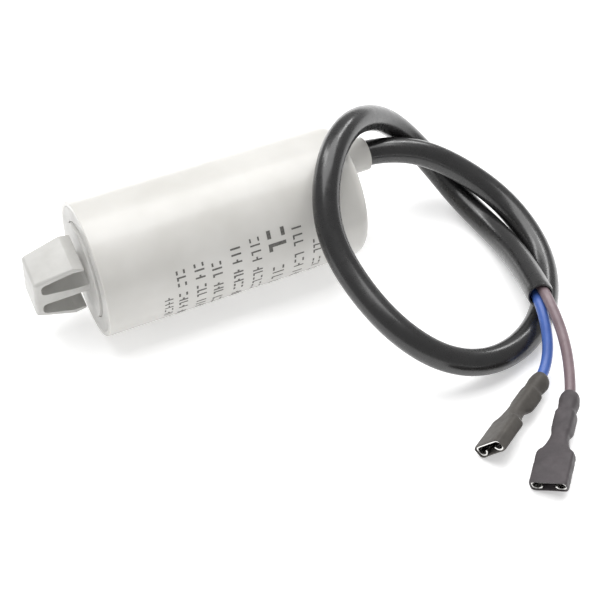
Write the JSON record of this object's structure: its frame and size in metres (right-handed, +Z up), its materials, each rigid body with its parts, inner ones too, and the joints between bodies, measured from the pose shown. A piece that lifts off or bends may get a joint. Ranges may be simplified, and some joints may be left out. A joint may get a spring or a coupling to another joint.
{
  "type": "motor run capacitor",
  "caption": "Cylindrical motor run capacitor with a moulded snap-in foot and a black two-core lead ending in sleeved push-on receptacles.",
  "frame": {"origin": "on the surface the part lies on, under the middle of the can with its foot and lead collar", "axes": "+X along the can from the foot to the lead collar, +Z up"},
  "size_m": [0.1119, 0.0996, 0.0362],
  "materials": {
    "can_plastic": "satin moulded white plastic",
    "lid_plastic": "fine-grained off-white moulded plastic",
    "film": "metallised film, wound",
    "core_plastic": "plain moulded tube",
    "sprayed_zinc": "rough sprayed metal",
    "resin": "cast resin",
    "solder": "bright solder",
    "sheath_pvc": "satin black flexible sheath",
    "blue_insulation": "satin blue insulation",
    "brown_insulation": "satin mauve-brown insulation",
    "copper": "stranded copper",
    "tinned_strip": "bright tin-plated strip",
    "shrunk_sleeve": "matt dark grey shrunk sleeve"
  },
  "bodies": {
    "root": {"can": "can_plastic", "foot_lid": "lid_plastic", "film_winding": "film", "winding_core": "core_plastic", "contact_foot_side": "sprayed_zinc", "contact_lead_side": "sprayed_zinc", "potting_resin": "resin", "inner_lead_long": "blue_insulation", "inner_lead_short": "brown_insulation", "solder_joint_far": "solder", "solder_joint_near": "solder", "cable_sheath": "sheath_pvc", "blue_core": "blue_insulation", "brown_core": "brown_insulation", "blue_wire_end": "copper", "brown_wire_end": "copper", "blue_receptacle": "tinned_strip", "brown_receptacle": "tinned_strip", "blue_sleeve": "shrunk_sleeve", "brown_sleeve": "shrunk_sleeve"}
  },
  "joints": []
}
